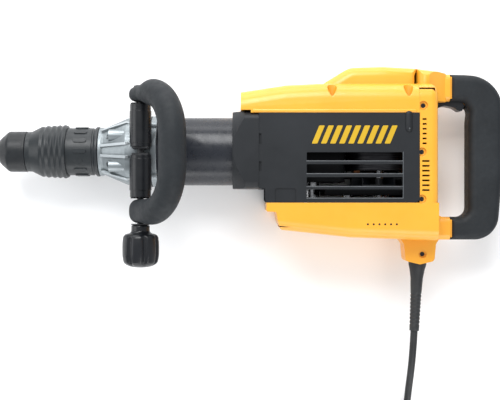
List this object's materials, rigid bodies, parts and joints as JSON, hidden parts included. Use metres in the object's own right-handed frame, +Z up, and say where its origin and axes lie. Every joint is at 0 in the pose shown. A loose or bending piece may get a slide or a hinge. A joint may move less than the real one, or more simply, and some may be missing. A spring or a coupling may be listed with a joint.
{
  "type": "demolition hammer",
  "caption": "Corded chisel hammer with a round tool socket, ribbed nose, clamped tilting loop side handle, vented motor housing and a D-shaped rear handle with trigger.",
  "frame": {"origin": "on the floor, under the middle of the hammer's box as it lies on its side, without its cord", "axes": "+X from the nose to the rear handle, +Y from the cord's side to the motor hump's side, +Z up from the floor"},
  "size_m": [0.62, 0.5847, 0.193],
  "materials": {
    "yellow_plastic": "satin moulded plastic, fine texture",
    "dark_plastic": "fine-textured moulded plastic",
    "black_plastic": "satin moulded plastic",
    "rubber": "matt overmoulded rubber",
    "cord_rubber": "matt rubber",
    "cast_metal": "shot-blasted casting",
    "barrel_finish": "satin dark coating",
    "steel": "ground steel",
    "screw_steel": "zinc-plated screw steel",
    "bearing_metal": "bronze and brass",
    "copper": "copper"
  },
  "bodies": {
    "frame": {"nose_casting": "cast_metal", "nose_screws": "screw_steel", "front_bush": "bearing_metal", "barrel_tube": "barrel_finish", "cylinder": "steel", "crankcase": "cast_metal", "bearing_plate": "cast_metal", "gear_cover": "cast_metal", "gear_bearings": "steel", "collar_cover": "dark_plastic", "motor_housing": "dark_plastic", "top_cover": "yellow_plastic", "housing_screws": "screw_steel", "rear_housing_left": "yellow_plastic", "rear_housing_right": "yellow_plastic", "rear_grip": "rubber", "trigger_pin": "steel", "switch_module": "black_plastic", "cable_clamp": "black_plastic", "strain_relief": "rubber", "stator_core": "steel", "field_coils": "copper", "armature_bearings": "steel", "brush_bracket": "black_plastic", "carbon_brushes": "black_plastic", "cord_lead": "cord_rubber", "cord_coil": "cord_rubber", "cord_plug": "cord_rubber"},
    "tool_holder": {"tool_holder_tube": "steel", "dust_cap": "rubber", "index_collar": "black_plastic", "sleeve_spring": "steel"},
    "sleeve": {"locking_sleeve": "black_plastic"},
    "roller_upper": {"lock_roller_upper": "steel"},
    "roller_lower": {"lock_roller_lower": "steel"},
    "beat_piece": {"beat_piece": "steel"},
    "ram": {"ram": "steel", "ram_ring": "rubber"},
    "piston": {"piston": "steel", "piston_ring": "rubber", "wrist_pin": "steel"},
    "connecting_rod": {"connecting_rod": "steel", "crank_pin": "steel"},
    "crank": {"crankshaft": "steel", "crank_gear": "steel"},
    "countershaft": {"countershaft": "steel", "countershaft_gear": "steel"},
    "armature": {"armature_shaft": "steel", "armature_core": "steel", "commutator": "copper", "cooling_fan": "black_plastic"},
    "trigger": {"trigger": "black_plastic"},
    "side_clamp": {"clamp_band": "steel", "clamp_jaws": "black_plastic", "clamp_bolt": "screw_steel"},
    "side_loop": {"loop_frame": "black_plastic", "loop_grip": "rubber"},
    "knob_washer": {"knob_washer": "screw_steel"},
    "knob": {"clamp_knob": "black_plastic", "knob_insert": "bearing_metal"}
  },
  "joints": [
    {"name": "tool_holder_index", "type": "hinge", "parent": "frame", "child": "tool_holder", "pos_m": [-0.207, 0.0603, 0.056], "axis": [1, 0, 0], "continuous": true},
    {"name": "locking_sleeve_slide", "type": "slide", "parent": "tool_holder", "child": "sleeve", "axis": [1, 0, 0], "range_m": [0, 0.008], "stiffness_N_per_m": 1500, "springref_m": -0.006, "deforming": ["sleeve_spring"]},
    {"name": "roller_upper_slide", "type": "slide", "parent": "tool_holder", "child": "roller_upper", "axis": [0, 1, 0], "range_m": [0, 0.002]},
    {"name": "roller_lower_slide", "type": "slide", "parent": "tool_holder", "child": "roller_lower", "axis": [0, -1, 0], "range_m": [0, 0.002]},
    {"name": "beat_piece_slide", "type": "slide", "parent": "tool_holder", "child": "beat_piece", "axis": [1, 0, 0], "range_m": [0, 0.009]},
    {"name": "ram_slide", "type": "slide", "parent": "frame", "child": "ram", "axis": [1, 0, 0], "range_m": [-0.02, 0.02]},
    {"name": "piston_slide", "type": "slide", "parent": "frame", "child": "piston", "axis": [1, 0, 0], "range_m": [0, 0.04]},
    {"name": "rod_swing", "type": "hinge", "parent": "piston", "child": "connecting_rod", "pos_m": [-0.019, 0.0603, 0.056], "axis": [0, 1, 0], "range_deg": [-13.6, 13.6]},
    {"name": "armature_spin", "type": "hinge", "parent": "frame", "child": "armature", "pos_m": [0.16, 0.0603, 0.056], "axis": [0, 1, 0], "continuous": true},
    {"name": "countershaft_spin", "type": "hinge", "parent": "frame", "child": "countershaft", "pos_m": [0.121, -0.0097, 0.056], "axis": [0, 1, 0], "continuous": true},
    {"name": "crank_spin", "type": "hinge", "parent": "frame", "child": "crank", "pos_m": [0.076, 0.0103, 0.056], "axis": [0, 1, 0], "continuous": true},
    {"name": "trigger_pull", "type": "hinge", "parent": "frame", "child": "trigger", "pos_m": [0.232, 0.1273, 0.056], "axis": [0, 0, 1], "range_deg": [0, 8], "stiffness_Nm_per_rad": 1.2, "springref_deg": -6.88},
    {"name": "side_handle_turn", "type": "hinge", "parent": "frame", "child": "side_clamp", "pos_m": [-0.1295, 0.0603, 0.056], "axis": [1, 0, 0], "continuous": true},
    {"name": "side_handle_tilt", "type": "hinge", "parent": "side_clamp", "child": "side_loop", "pos_m": [-0.1295, 0.0603, 0.113], "axis": [0, 1, 0], "range_deg": [-93.5, 26.5]},
    {"name": "knob_screw_travel", "type": "slide", "parent": "side_clamp", "child": "knob_washer", "axis": [0, -1, 0], "range_m": [0, 0.003]},
    {"name": "clamp_knob_turn", "type": "hinge", "parent": "knob_washer", "child": "knob", "pos_m": [-0.1295, -0.0497, 0.113], "axis": [0, 1, 0], "range_deg": [0, 720]}
  ],
  "couplings": [
    {"joint": "roller_upper_slide", "follows": "locking_sleeve_slide", "ratio": 0.25},
    {"joint": "roller_lower_slide", "follows": "locking_sleeve_slide", "ratio": 0.25},
    {"joint": "countershaft_spin", "follows": "armature_spin", "ratio": -0.2381},
    {"joint": "crank_spin", "follows": "armature_spin", "ratio": 0.059524},
    {"joint": "knob_screw_travel", "follows": "clamp_knob_turn", "m_per_rad": 0.00023873}
  ]
}
